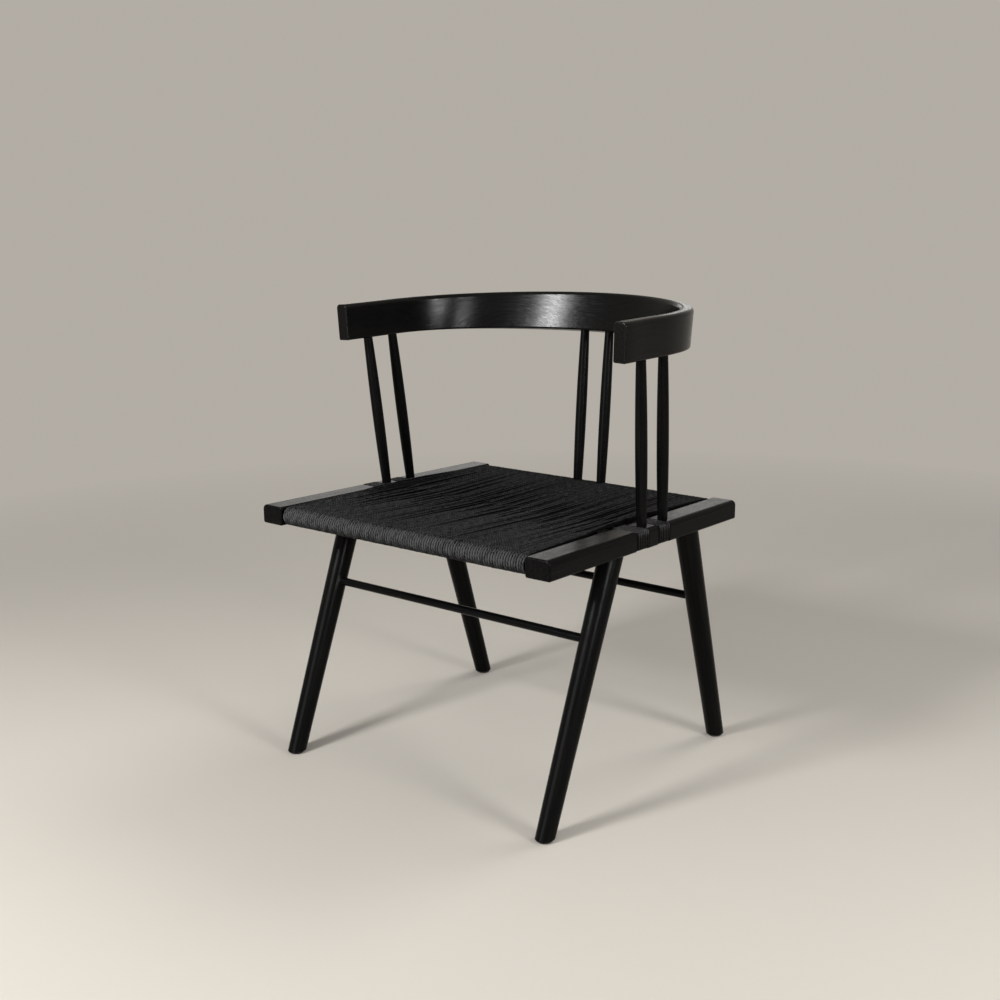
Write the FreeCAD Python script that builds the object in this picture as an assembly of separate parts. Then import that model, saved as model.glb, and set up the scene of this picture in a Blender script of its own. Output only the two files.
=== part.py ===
import FreeCAD, Part
import math
import os

from FreeCAD import Placement, Rotation, Vector

# Dining armchair, in millimetres. X runs across it, Y from front to back and Z up from the floor.
# Lengths along Y are measured from the middle of the side rails until the last step centres the chair.

# Seat frame
front_width = 600.0  # across the side rails at their front ends
rear_width = 585.0  # across the side rails at their rear ends
rail_length = 512.0
rail_width = 45.0
rail_height = 31.0
rail_edge = 3.5  # rounding of the side rails' edges
rail_outer_round = 8.0  # the upper edge on the outer side is rounder
rail_end_round = 2.9
seat_front_height = 437.0  # top of the side rails at the front
seat_drop = 15.5  # the seat falls by this much to the back
seat_rail_diameter = 21.0  # round rails inside the front and rear rolls of cord
seat_rail_tenon_diameter = 16.0
seat_rail_tenon_length = 24.0

# Legs and stretchers
leg_head_diameter = 38.0
leg_foot_diameter = 30.0
leg_tenon_diameter = 23.0
leg_tenon_length = 21.0
foot_chamfer = 1.5
front_leg_y = -76.5  # where the leg meets the underside of the rail
front_foot_x = 272.0
front_foot_y = -245.0
rear_leg_y = 136.5
rear_foot_x = 268.0
rear_foot_y = 242.0
stretcher_diameter = 13.5
front_stretcher_height = 280.5
rear_stretcher_height = 271.5
stretcher_stop = 3.0  # the stretcher ends this far short of the leg's axis

# Foot glides
glide_diameter = 24.0
glide_thickness = 3.0
glide_chamfer = 1.0
glide_pin_diameter = 3.0
glide_pin_length = 14.0

# Crest rail, bent to half an ellipse with a straight arm at each end
crest_half_width = 285.5  # middle of the thickness, at the arms
crest_bow_depth = 225.5
crest_bow_y = 51.0  # where the arms meet the bow
crest_arm_length = 120.0
crest_thickness = 22.0
crest_back_top = 749.0  # sets the height of the chair
crest_arm_drop = 3.0  # the arms lie this much lower
crest_back_height = 67.5  # up the leaning face
crest_arm_height = 60.0
crest_back_lean = 15.0  # degrees, the top outwards
crest_arm_lean = 2.5
crest_top_round = 6.5
crest_bottom_round = 3.0
crest_end_round = 2.0
crest_arm_turn = 90  # degrees, from the middle of the back to the arms
crest_section_turn = 15  # between two sections of the bow

# Spindles
spindle_foot_diameter = 15.8
spindle_swell_diameter = 19.0
spindle_head_diameter = 15.2
spindle_swell_at = 0.38  # share of the length, from the foot
spindle_tenon_diameter = 11.0
side_foot_tenon_length = 15.0
back_foot_tenon_length = 14.0
head_tenon_length = 22.0
front_spindle_y = 5.0  # feet of the side spindles, along the rail
rear_spindle_y = 64.0
arm_end_to_spindle = 56.5  # from the end of the arm to the head of the front spindle
spindle_head_spacing = 59.0
back_spindle_foot_x = 25.7
back_spindle_head_x = 26.9

# Cord seat
cord_diameter = 4.6
cord_pitch = 4.8  # from one strand to the next beside it
cord_gap = 0.3  # between the cord and what it passes
warp_draw_in = 8.0  # the weft pulls the edge of the warp this far off the rail
warp_end_inset = 1.0  # the rolls stand back from the ends of the side rails
warp_bundles = 21
slit_width = 2.6  # widest part of a slit between two bundles
slit_long = 210.0
slit_short = 96.0
slit_bridge = 44.0  # between two short slits in line
weft_strands = 6  # side by side in each of the two bands of weft
weft_to_spindle = 12.0  # from the axis of a side spindle forward to the band
notch_room = 4.0  # the notch for a band starts this far ahead of it
weft_bend = 6.0  # bend of the cord's middle line round the rail
weft_climb_share = 0.55  # of the gap beside the warp, in which the weft climbs to the rail
tack_head_diameter = 7.0
tack_head_thickness = 1.2
tack_shank_diameter = 1.8
tack_length = 10.0
tack_from_end = 26.0  # from the side rail's inner face to a tack

# Clearances
tenon_fit = 0.1  # all round a tenon
tenon_end_gap = 1.0  # past the end of a tenon
shoulder_gap = 0.05  # under a shoulder
overshoot = 40.0  # tools reach this far past what they cut

seat_tilt = math.degrees(math.atan2(seat_drop, rail_length))
seat_middle_height = seat_front_height - seat_drop / 2
rail_taper = math.degrees(math.atan2((front_width - rear_width) / 2, rail_length))
rail_middle_x = (front_width + rear_width) / 4 - rail_width / 2
seat_place = Placement(Vector(0, 0, seat_middle_height), Rotation(Vector(1, 0, 0), -seat_tilt))

warp_outer_radius = seat_rail_diameter / 2 + cord_gap + cord_diameter
warp_inner_radius = warp_outer_radius - cord_diameter
seat_rail_y = rail_length / 2 - warp_end_inset - warp_outer_radius
seat_rail_z = -warp_outer_radius
weft_width = weft_strands * cord_pitch
weft_from_spindle = weft_to_spindle + weft_width / 2
slit_middle_y = (front_spindle_y + rear_spindle_y) / 2 - weft_from_spindle


def seat_point(x, y, z):
    # a point given in the tilted seat frame, whose Z is nought on top of the side rails
    return seat_place.multVec(Vector(x, y, z))


def in_seat(shape):
    moved = shape.copy()
    moved.Placement = seat_place.multiply(moved.Placement)
    return moved


def rail_line_x(y):
    # distance of the side rail's middle line from the chair's middle plane
    return rail_middle_x - y * math.tan(math.radians(rail_taper))


def rod(start, end, diameter):
    axis = end.sub(start)
    return Part.makeCylinder(diameter / 2, axis.Length, start, axis)


def socket(start, end, diameter):
    # the bore for a tenon that runs from start to end, open past its start
    axis = end.sub(start).normalize()
    mouth = start.sub(axis * (overshoot / 4))
    return rod(mouth, end.add(axis * tenon_end_gap), diameter + 2 * tenon_fit)


def half_space(place):
    # a block that fills the +Z side of the given frame's XY plane
    size = 4 * overshoot
    block = Part.makeBox(size, size, size, Vector(-size / 2, -size / 2, 0))
    block.Placement = place
    return block


def rounded_wire(corners, radii):
    # closed flat outline through the corners, each rounded by a tangent arc
    count = len(corners)
    starts = []
    ends = []
    edges = []
    for i in range(count):
        here = corners[i]
        back = corners[i - 1].sub(here).normalize()
        ahead = corners[(i + 1) % count].sub(here).normalize()
        half = back.getAngle(ahead) / 2
        reach = radii[i] / math.tan(half)
        middle = back.add(ahead).normalize() * (radii[i] / math.sin(half) - radii[i])
        starts.append(here.add(back * reach))
        ends.append(here.add(ahead * reach))
        edges.append(Part.Arc(starts[i], here.add(middle), ends[i]).toShape())
    for i in range(count):
        edges.append(Part.LineSegment(ends[i], starts[(i + 1) % count]).toShape())
    return Part.Wire(Part.__sortEdges__(edges))


def crest_frame(turn, reach):
    # centre of a crest section with its thickness axis, its rise up the face and its height;
    # turn is 0 at the middle of the back and 90 degrees where the right arm starts
    side = math.sin(math.radians(turn))
    back = math.cos(math.radians(turn))
    share = side * side
    lean = math.radians(crest_back_lean + (crest_arm_lean - crest_back_lean) * share)
    height = crest_back_height + (crest_arm_height - crest_back_height) * share
    top = crest_back_top - crest_arm_drop * share
    out = Vector(side * crest_bow_depth, back * crest_half_width, 0).normalize()
    rise = out * math.sin(lean) + Vector(0, 0, math.cos(lean))
    across = out * math.cos(lean) - Vector(0, 0, math.sin(lean))
    plan = Vector(crest_half_width * side, crest_bow_y + crest_bow_depth * back - reach, 0)
    centre = plan + Vector(0, 0, top - height / 2 * math.cos(lean))
    return centre, across, rise, height


def crest_section(turn, reach):
    centre, across, rise, height = crest_frame(turn, reach)
    half = across * (crest_thickness / 2)
    up = rise * (height / 2)
    corners = [centre - half - up, centre + half - up, centre + half + up, centre - half + up]
    radii = [crest_bottom_round, crest_bottom_round, crest_top_round, crest_top_round]
    return rounded_wire(corners, radii)


def make_crest(tenons):
    arm_steps = [crest_arm_length, crest_arm_length * 2 / 3, crest_arm_length / 3]
    stations = [(-crest_arm_turn, reach) for reach in arm_steps]
    stations += [(turn, 0) for turn in range(-crest_arm_turn, crest_arm_turn + 1, crest_section_turn)]
    stations += [(crest_arm_turn, reach) for reach in reversed(arm_steps)]
    crest = Part.makeLoft([crest_section(turn, reach) for turn, reach in stations], True, False)
    ends = [face for face in crest.Faces if face.CenterOfMass.y < crest_bow_y - crest_arm_length + crest_end_round]
    rims = [edge for face in ends for edge in face.Edges]
    crest = crest.makeFillet(crest_end_round, rims)
    for start, end in tenons:
        crest = crest.cut(socket(start, end, spindle_tenon_diameter))
    return crest


def crest_seat(turn, reach):
    # middle of the crest's underside, with the frame whose Z points up into the crest
    centre, across, rise, height = crest_frame(turn, reach)
    seat = centre - rise * (height / 2)
    along = rise.cross(across)
    turned = Rotation(across, along, rise, "ZXY")
    return seat, Placement(seat - rise * shoulder_gap, turned)


def make_spindle(foot, head, foot_frame, head_frame, foot_tenon):
    # turned body with a slow swell, cut to the faces that it meets, and a tenon at each end
    axis = head.sub(foot)
    length = axis.Length
    reach = overshoot / 4
    swell = Vector(spindle_swell_diameter / 2, 0, length * spindle_swell_at)
    profile_foot = Vector(spindle_foot_diameter / 2, 0, 0)
    profile_head = Vector(spindle_head_diameter / 2, 0, length)
    low = Vector(spindle_foot_diameter / 2, 0, -reach)
    high = Vector(spindle_head_diameter / 2, 0, length + reach)
    edges = [
        Part.LineSegment(Vector(0, 0, -reach), low).toShape(),
        Part.LineSegment(low, profile_foot).toShape(),
        Part.Arc(profile_foot, swell, profile_head).toShape(),
        Part.LineSegment(profile_head, high).toShape(),
        Part.LineSegment(high, Vector(0, 0, length + reach)).toShape(),
        Part.LineSegment(Vector(0, 0, length + reach), Vector(0, 0, -reach)).toShape(),
    ]
    body = Part.Face(Part.Wire(edges)).revolve(Vector(0, 0, 0), Vector(0, 0, 1), 360)
    body.Placement = Placement(foot, Rotation(Vector(0, 0, 1), axis))
    body = body.cut(half_space(head_frame))
    body = body.cut(half_space(foot_frame))
    unit = Vector(axis).normalize()
    tenons = rod(foot - unit * foot_tenon, foot + unit * reach, spindle_tenon_diameter)
    tenons = tenons.fuse(rod(head - unit * reach, head + unit * head_tenon_length, spindle_tenon_diameter))
    return body.fuse(tenons).removeSplitter()


def make_leg(foot, head, stretcher_socket):
    # straight taper from the rail to the floor, with a shoulder under the rail and a tenon in it
    axis = head.sub(foot)
    unit = Vector(axis).normalize()
    slope = (leg_head_diameter - leg_foot_diameter) / 2 / axis.Length
    low_radius = leg_foot_diameter / 2 - slope * overshoot
    high_radius = leg_head_diameter / 2 + slope * overshoot
    length = axis.Length + 2 * overshoot
    leg = Part.makeCone(low_radius, high_radius, length, foot - unit * overshoot, unit)
    under_rail = Placement(head, seat_place.Rotation)
    under_rail.move(seat_place.Rotation.multVec(Vector(0, 0, -shoulder_gap)))
    leg = leg.cut(half_space(under_rail))
    floor_cut = Placement(Vector(foot.x, foot.y, glide_thickness), Rotation(Vector(1, 0, 0), 180))
    leg = leg.cut(half_space(floor_cut))
    rim = [edge for edge in leg.Edges if abs(edge.CenterOfMass.z - glide_thickness) < foot_chamfer / 10]
    leg = leg.makeChamfer(foot_chamfer, rim)
    leg = leg.fuse(rod(head - unit * leg_tenon_length, head + unit * leg_tenon_length, leg_tenon_diameter))
    leg = leg.removeSplitter()
    leg = leg.cut(stretcher_socket)
    pin_foot, pin_head = glide_pin_line(foot, head)
    return leg.cut(socket(pin_foot, pin_head, glide_pin_diameter))


def glide_pin_line(foot, head):
    # the glide's pin stands upright in the middle of the foot's flat end
    rise = glide_thickness / (head.z - foot.z)
    start = foot + head.sub(foot) * rise
    return start, start + Vector(0, 0, glide_pin_length)


def make_glide(foot, head):
    start, end = glide_pin_line(foot, head)
    disc = Part.makeCylinder(glide_diameter / 2, glide_thickness, start - Vector(0, 0, glide_thickness))
    rim = [edge for edge in disc.Edges if edge.BoundBox.ZMax < glide_thickness / 2]
    disc = disc.makeChamfer(glide_chamfer, rim)
    return disc.fuse(rod(start, end, glide_pin_diameter)).removeSplitter()


def make_stretcher(left_leg, right_leg, height):
    # straight dowel between two legs; returns it with the sockets for its ends
    left = point_at_height(left_leg, height)
    right = point_at_height(right_leg, height)
    start = left + Vector(stretcher_stop, 0, 0)
    end = right - Vector(stretcher_stop, 0, 0)
    dowel = rod(start, end, stretcher_diameter)
    middle = (start + end) * 0.5
    return dowel, socket(middle, start, stretcher_diameter), socket(middle, end, stretcher_diameter)


def point_at_height(leg, height):
    foot, head = leg
    return foot + head.sub(foot) * ((height - foot.z) / (head.z - foot.z))


def weft_ring(spindle_y, thinner, thicker, ahead, behind):
    # band of weft round both side rails in front of a pair of spindles: it lies inside the warp, climbs to
    # the rails and goes round their outer sides; thinner and thicker give its skin from the middle line,
    # ahead and behind make it longer at its front and rear edges
    middle_y = spindle_y - weft_from_spindle
    outer_x = rail_line_x(middle_y) + rail_width / 2 - cord_diameter / 2
    edge_x = rail_line_x(middle_y) - rail_width / 2
    climb = weft_climb_share * (edge_x - warp_edge_x(middle_y))
    top_z = -cord_diameter / 2
    low_z = -rail_height + cord_diameter / 2
    under_top_z = top_z - cord_diameter - cord_gap
    over_low_z = -2 * warp_outer_radius + 1.5 * cord_diameter + cord_gap
    right = [
        Vector(edge_x - climb, 0, under_top_z),
        Vector(edge_x, 0, top_z),
        Vector(outer_x, 0, top_z),
        Vector(outer_x, 0, low_z),
        Vector(edge_x, 0, low_z),
        Vector(edge_x - climb, 0, over_low_z),
    ]
    left = [Vector(-point.x, 0, point.z) for point in reversed(right)]
    middle = rounded_wire(right + left, [weft_bend] * len(right + left))
    width = Vector(0, weft_width + ahead + behind, 0)
    outer = Part.Face(middle.makeOffset2D(thicker)).extrude(width)
    inner = Part.Face(middle.makeOffset2D(-thinner)).extrude(width)
    ring = outer.cut(inner)
    ring.translate(Vector(0, middle_y - weft_width / 2 - ahead, 0))
    return in_seat(ring)


def make_weft(spindle_y):
    return weft_ring(spindle_y, cord_diameter / 2, cord_diameter / 2, 0, 0)


def weft_notch(spindle_y):
    return weft_ring(spindle_y, cord_diameter / 2 + cord_gap, cord_diameter, notch_room, cord_gap)


def make_side_rail(side, tools):
    # straight bar with rounded edges, turned in plan so that the seat narrows to the back
    outer = side * rail_width / 2
    front = -rail_length / 2
    corners = [
        Vector(-outer, front, -rail_height),
        Vector(outer, front, -rail_height),
        Vector(outer, front, 0),
        Vector(-outer, front, 0),
    ]
    section = Part.Face(rounded_wire(corners, [rail_edge, rail_edge, rail_outer_round, rail_edge]))
    bar = section.extrude(Vector(0, rail_length, 0))
    rims = [edge for edge in bar.Edges if abs(edge.CenterOfMass.y) > rail_length / 4]
    bar = bar.makeFillet(rail_end_round, rims)
    bar.Placement = Placement(Vector(side * rail_middle_x, 0, 0), Rotation(Vector(0, 0, 1), side * rail_taper))
    bar = in_seat(bar)
    for tool in tools:
        bar = bar.cut(tool)
    return bar


def seat_rail_ends(y):
    # shoulders of a round seat rail, at the inner faces of the side rails
    inner = rail_line_x(y) - rail_width / 2 / math.cos(math.radians(rail_taper)) - shoulder_gap
    slack = seat_rail_diameter / 2 * math.tan(math.radians(rail_taper))
    return inner - slack


def make_seat_rail(y, tools):
    shoulder = seat_rail_ends(y)
    tip = shoulder + seat_rail_tenon_length
    body = rod(Vector(-shoulder, y, seat_rail_z), Vector(shoulder, y, seat_rail_z), seat_rail_diameter)
    tenons = rod(Vector(-tip, y, seat_rail_z), Vector(tip, y, seat_rail_z), seat_rail_tenon_diameter)
    rail = in_seat(body.fuse(tenons).removeSplitter())
    for tool in tools:
        rail = rail.cut(tool)
    return rail


def seat_rail_socket(side, y):
    shoulder = side * seat_rail_ends(y)
    tip = shoulder + side * seat_rail_tenon_length
    start = seat_point(shoulder, y, seat_rail_z)
    return socket(start, seat_point(tip, y, seat_rail_z), seat_rail_tenon_diameter)


def tack_lines():
    # the cord's ends are tacked to the seat rails, on the sides that face each other
    lines = []
    for facing in (-1, 1):
        y = facing * seat_rail_y
        face = y - facing * seat_rail_diameter / 2
        x = seat_rail_ends(y) - tack_from_end
        for side in (-1, 1):
            head = seat_point(side * x, face, seat_rail_z)
            tip = seat_point(side * x, face + facing * tack_length, seat_rail_z)
            lines.append((head, tip))
    return lines


def make_tacks():
    tacks = []
    for head, tip in tack_lines():
        out = head.sub(tip).normalize()
        cap = rod(head, head + out * tack_head_thickness, tack_head_diameter)
        tacks.append(cap.fuse(rod(head + out * tack_head_thickness / 2, tip, tack_shank_diameter)))
    return Part.makeCompound([tack.removeSplitter() for tack in tacks])


def stadium(radius, half_length):
    # outline of the warp seen from the side, round the two seat rails
    front = Vector(0, -half_length, seat_rail_z)
    rear = Vector(0, half_length, seat_rail_z)
    up = Vector(0, 0, radius)
    out = Vector(0, radius, 0)
    edges = [
        Part.LineSegment(front + up, rear + up).toShape(),
        Part.Arc(rear + up, rear + out, rear - up).toShape(),
        Part.LineSegment(rear - up, front - up).toShape(),
        Part.Arc(front - up, front - out, front + up).toShape(),
    ]
    return Part.Wire(edges)


def warp_edge_x(y):
    # side of the warp: against the rail at the rolls, drawn in by the weft between them
    reach = rail_length / 2
    inner = rail_line_x(y) - rail_width / 2 / math.cos(math.radians(rail_taper))
    return inner - cord_gap - warp_draw_in * (1 - (y / reach) ** 2)


def warp_plan():
    # the warp seen from above, straight at the rolls and hollow along the side rails
    reach = rail_length / 2
    front = Vector(warp_edge_x(-reach), -reach, 0)
    middle = Vector(warp_edge_x(0), 0, 0)
    rear = Vector(warp_edge_x(reach), reach, 0)
    mirror = [Vector(-point.x, point.y, 0) for point in (front, middle, rear)]
    edges = [
        Part.Arc(front, middle, rear).toShape(),
        Part.LineSegment(rear, mirror[2]).toShape(),
        Part.Arc(mirror[2], mirror[1], mirror[0]).toShape(),
        Part.LineSegment(mirror[0], front).toShape(),
    ]
    return Part.Face(Part.Wire(edges))


def slit(x, y, length):
    # lens between two bundles of warp, from the top down into the hollow
    tip = Vector(0, length / 2, 0)
    bulge = Vector(slit_width / 2, 0, 0)
    outline = Part.Wire([
        Part.Arc(-tip, bulge, tip).toShape(),
        Part.Arc(tip, -bulge, -tip).toShape(),
    ])
    lens = Part.Face(outline).extrude(Vector(0, 0, 2 * cord_diameter))
    lens.translate(Vector(x, y, -1.5 * cord_diameter))
    return lens


def make_warp(back_spindles):
    # cord wound round the front and rear seat rails: a flat sleeve with a roll at each end
    across = Vector(front_width, 0, 0)
    sleeve = Part.Face(stadium(warp_outer_radius, seat_rail_y)).extrude(across)
    sleeve = sleeve.cut(Part.Face(stadium(warp_inner_radius, seat_rail_y)).extrude(across))
    sleeve.translate(across * -0.5)
    plan = warp_plan().extrude(Vector(0, 0, 4 * warp_outer_radius))
    plan.translate(Vector(0, 0, -3 * warp_outer_radius))
    sleeve = sleeve.common(plan)
    pitch = 2 * warp_edge_x(slit_middle_y) / warp_bundles
    aside = (slit_short + slit_bridge) / 2
    slits = []
    for gap in range(1, warp_bundles):
        x = (gap - warp_bundles / 2) * pitch
        if gap % 2:
            slits.append(slit(x, slit_middle_y, slit_long))
        else:
            slits.append(slit(x, slit_middle_y - aside, slit_short))
            slits.append(slit(x, slit_middle_y + aside, slit_short))
    sleeve = in_seat(sleeve.cut(Part.makeCompound(slits)))
    for foot, head in back_spindles:
        axis = head.sub(foot).normalize()
        hole = spindle_foot_diameter + 4 * cord_gap
        sleeve = sleeve.cut(rod(foot - axis * cord_diameter, foot + axis * (3 * cord_diameter), hole))
    return sleeve


def main():
    nodes = {}
    sides = {"left": -1, "right": 1}

    legs = {}
    for end, y, foot_x, foot_y in (
        ("front", front_leg_y, front_foot_x, front_foot_y),
        ("rear", rear_leg_y, rear_foot_x, rear_foot_y),
    ):
        for name, side in sides.items():
            head = seat_point(side * rail_line_x(y), y, -rail_height)
            legs[end, name] = (Vector(side * foot_x, foot_y, 0), head)

    for end, height in (("front", front_stretcher_height), ("rear", rear_stretcher_height)):
        dowel, left, right = make_stretcher(legs[end, "left"], legs[end, "right"], height)
        nodes[end + "_stretcher"] = dowel
        for name, hole in (("left", left), ("right", right)):
            foot, head = legs[end, name]
            nodes[end + "_" + name + "_leg"] = make_leg(foot, head, hole)
            nodes[end + "_" + name + "_glide"] = make_glide(foot, head)

    crest_tenons = []
    side_feet = {"left": [], "right": []}
    foot_turn = seat_place.Rotation.multiply(Rotation(Vector(1, 0, 0), 180))
    front_reach = crest_arm_length - arm_end_to_spindle
    rows = (("front", front_spindle_y, front_reach), ("rear", rear_spindle_y, front_reach - spindle_head_spacing))
    for name, side in sides.items():
        for row, y, reach in rows:
            foot = seat_point(side * rail_line_x(y), y, 0)
            head, head_frame = crest_seat(side * crest_arm_turn, reach)
            foot_frame = Placement(seat_point(side * rail_line_x(y), y, shoulder_gap), foot_turn)
            spindle = make_spindle(foot, head, foot_frame, head_frame, side_foot_tenon_length)
            nodes[name + "_" + row + "_spindle"] = spindle
            side_feet[name].append((foot, head))
            crest_tenons.append((head, head + head.sub(foot).normalize() * head_tenon_length))

    back_feet = []
    rail_top = seat_rail_z + seat_rail_diameter / 2
    for name, side in sides.items():
        foot = seat_point(side * back_spindle_foot_x, seat_rail_y, rail_top)
        turn = math.degrees(math.asin(side * back_spindle_head_x / crest_half_width))
        head, head_frame = crest_seat(turn, 0)
        foot_frame = Placement(seat_point(side * back_spindle_foot_x, seat_rail_y, rail_top + shoulder_gap), foot_turn)
        nodes["back_" + name + "_spindle"] = make_spindle(foot, head, foot_frame, head_frame, back_foot_tenon_length)
        back_feet.append((foot, head))
        crest_tenons.append((head, head + head.sub(foot).normalize() * head_tenon_length))

    nodes["crest_rail"] = make_crest(crest_tenons)

    for name, side in sides.items():
        tools = [weft_notch(front_spindle_y), weft_notch(rear_spindle_y)]
        for end in ("front", "rear"):
            foot, head = legs[end, name]
            unit = head.sub(foot).normalize()
            tools.append(socket(head, head + unit * leg_tenon_length, leg_tenon_diameter))
        for foot, head in side_feet[name]:
            unit = head.sub(foot).normalize()
            tools.append(socket(foot, foot - unit * side_foot_tenon_length, spindle_tenon_diameter))
        for y in (-seat_rail_y, seat_rail_y):
            tools.append(seat_rail_socket(side, y))
        nodes[name + "_side_rail"] = make_side_rail(side, tools)

    tacks = tack_lines()
    holes = [socket(head, tip, tack_shank_diameter) for head, tip in tacks]
    nodes["front_seat_rail"] = make_seat_rail(-seat_rail_y, holes[:2])
    for foot, head in back_feet:
        unit = head.sub(foot).normalize()
        holes.append(socket(foot, foot - unit * back_foot_tenon_length, spindle_tenon_diameter))
    nodes["rear_seat_rail"] = make_seat_rail(seat_rail_y, holes[2:])
    nodes["cord_tacks"] = make_tacks()
    nodes["seat_warp"] = make_warp(back_feet)
    nodes["front_weft"] = make_weft(front_spindle_y)
    nodes["rear_weft"] = make_weft(rear_spindle_y)

    # centre the chair front to back on its own origin
    boxes = [shape.optimalBoundingBox() for shape in nodes.values()]
    middle_y = (min(box.YMin for box in boxes) + max(box.YMax for box in boxes)) / 2
    os.makedirs("parts", exist_ok=True)
    for name, shape in nodes.items():
        shape.translate(Vector(0, -middle_y, 0))
        shape.exportStep("parts/" + name + ".step")
        print(name, "solids", len(shape.Solids), "valid", shape.isValid(), "volume", round(shape.Volume))
    print("middle of the rails lies", round(-middle_y, 2), "mm from the origin along Y")


main()
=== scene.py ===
import math

import bpy
import numpy as np
from mathutils import Matrix, Vector


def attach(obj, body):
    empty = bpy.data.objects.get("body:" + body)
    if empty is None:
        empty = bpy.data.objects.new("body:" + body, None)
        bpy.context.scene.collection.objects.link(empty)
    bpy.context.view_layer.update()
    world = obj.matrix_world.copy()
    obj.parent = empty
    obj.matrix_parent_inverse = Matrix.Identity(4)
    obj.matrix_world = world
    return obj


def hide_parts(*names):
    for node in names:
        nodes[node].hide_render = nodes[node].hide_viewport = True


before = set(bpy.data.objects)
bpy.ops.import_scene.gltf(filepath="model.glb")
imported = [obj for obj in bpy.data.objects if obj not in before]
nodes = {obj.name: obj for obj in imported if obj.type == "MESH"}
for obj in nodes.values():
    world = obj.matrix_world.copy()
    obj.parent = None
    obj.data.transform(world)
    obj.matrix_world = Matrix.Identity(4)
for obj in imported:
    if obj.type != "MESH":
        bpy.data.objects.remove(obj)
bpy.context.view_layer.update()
rng = np.random.default_rng(41)  # every uneven strand comes from this one seed
print("frame loaded:", len(nodes), "nodes")

seat = {  # the tilted seat plane that rails and cord share, metres
    "frontHeight": 0.437,
    "drop": 0.0155,
    "railLength": 0.512,
    "railWidth": 0.045,
    "railMiddleX": 0.27375,  # middle of a side rail, halfway along it
    "railTaper": 0.0075 / 0.512,
    "shiftY": -0.0175,  # from the middle of the rails to the chair's origin
    "cordRadius": 0.0023,
    "cordGap": 0.0004,  # room between the outer strand and a rail
}
seatTilt = math.atan2(seat["drop"], seat["railLength"])


def toRow(x, y, z):
    # seat plane to chair frame: turn by the tilt about X, then lift to the middle of the rails
    rowY = y * math.cos(seatTilt) + z * math.sin(seatTilt) + seat["shiftY"]
    rowZ = seat["frontHeight"] - seat["drop"] / 2 - y * math.sin(seatTilt) + z * math.cos(seatTilt)
    return np.stack(np.broadcast_arrays(x, rowY, rowZ), axis=-1)


def railInnerX(y):
    # inner face of a side rail: a straight line that nears the middle towards the back
    return seat["railMiddleX"] - y * seat["railTaper"] - seat["railWidth"] / 2


def smoothStep(value):
    t = np.clip(value, 0.0, 1.0)
    return t * t * (3 - 2 * t)


# materials


noiseSpan = (0.3, 0.7)  # where nearly all values of a noise lie


def newMaterial(name):
    material = bpy.data.materials.new(name)
    material.use_nodes = True
    tree = material.node_tree
    return material, tree, tree.nodes["Principled BSDF"]


def link(tree, source, target):
    tree.links.new(source, target)


def mathNode(tree, operation, first, second=None):
    # one Math node; a number goes on its socket, anything else is linked
    node = tree.nodes.new("ShaderNodeMath")
    node.operation = operation
    for socket, value in zip(node.inputs, (first, second)):
        if value is None:
            continue
        if isinstance(value, (int, float)):
            socket.default_value = value
        else:
            link(tree, value, socket)
    return node.outputs[0]


def noiseNode(tree, vector, scale, detail=2.0, roughness=0.5):
    node = tree.nodes.new("ShaderNodeTexNoise")
    node.inputs["Scale"].default_value = scale
    node.inputs["Detail"].default_value = detail
    node.inputs["Roughness"].default_value = roughness
    link(tree, vector, node.inputs["Vector"])
    return node.outputs["Fac"]


def rangeNode(tree, value, fromLow, fromHigh, toLow, toHigh):
    node = tree.nodes.new("ShaderNodeMapRange")
    limits = {"From Min": fromLow, "From Max": fromHigh, "To Min": toLow, "To Max": toHigh}
    for name, number in limits.items():
        node.inputs[name].default_value = number
    link(tree, value, node.inputs["Value"])
    return node.outputs["Result"]


def rampNode(tree, value, stops):
    node = tree.nodes.new("ShaderNodeValToRGB")
    for element, (place, colour) in zip(node.color_ramp.elements, stops):
        element.position = place
        element.color = (*colour, 1)
    link(tree, value, node.inputs["Fac"])
    return node.outputs["Color"]


def bumpNode(tree, height, distance, strength=1.0, normal=None):
    node = tree.nodes.new("ShaderNodeBump")
    node.inputs["Distance"].default_value = distance
    node.inputs["Strength"].default_value = strength
    link(tree, height, node.inputs["Height"])
    if normal is not None:
        link(tree, normal, node.inputs["Normal"])
    return node.outputs["Normal"]


wood = {  # black satin lacquer over open grain
    "dark": (0.0018, 0.0018, 0.002),
    "pale": (0.0048, 0.0047, 0.0046),
    "colourRange": (0.35, 0.7),  # from dark to pale over these values of the rings
    "smooth": 0.17,
    "rough": 0.27,
    "glossRange": (0.15, 0.6),  # from rough to smooth over these
    "specular": 0.055,
    "stretch": 0.028,  # the pattern runs this much slower along the grain
    "ringScale": 210.0,  # per metre, across the grain
    "ringDepth": 0.00012,
    "ringStrength": 0.35,
    "poreScale": 1500.0,
    "poreRange": (0.36, 0.52),  # noise under the first is a pit, over the second sound wood
    "poreDepth": 0.00004,
    "poreStrength": 0.5,
}


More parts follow.
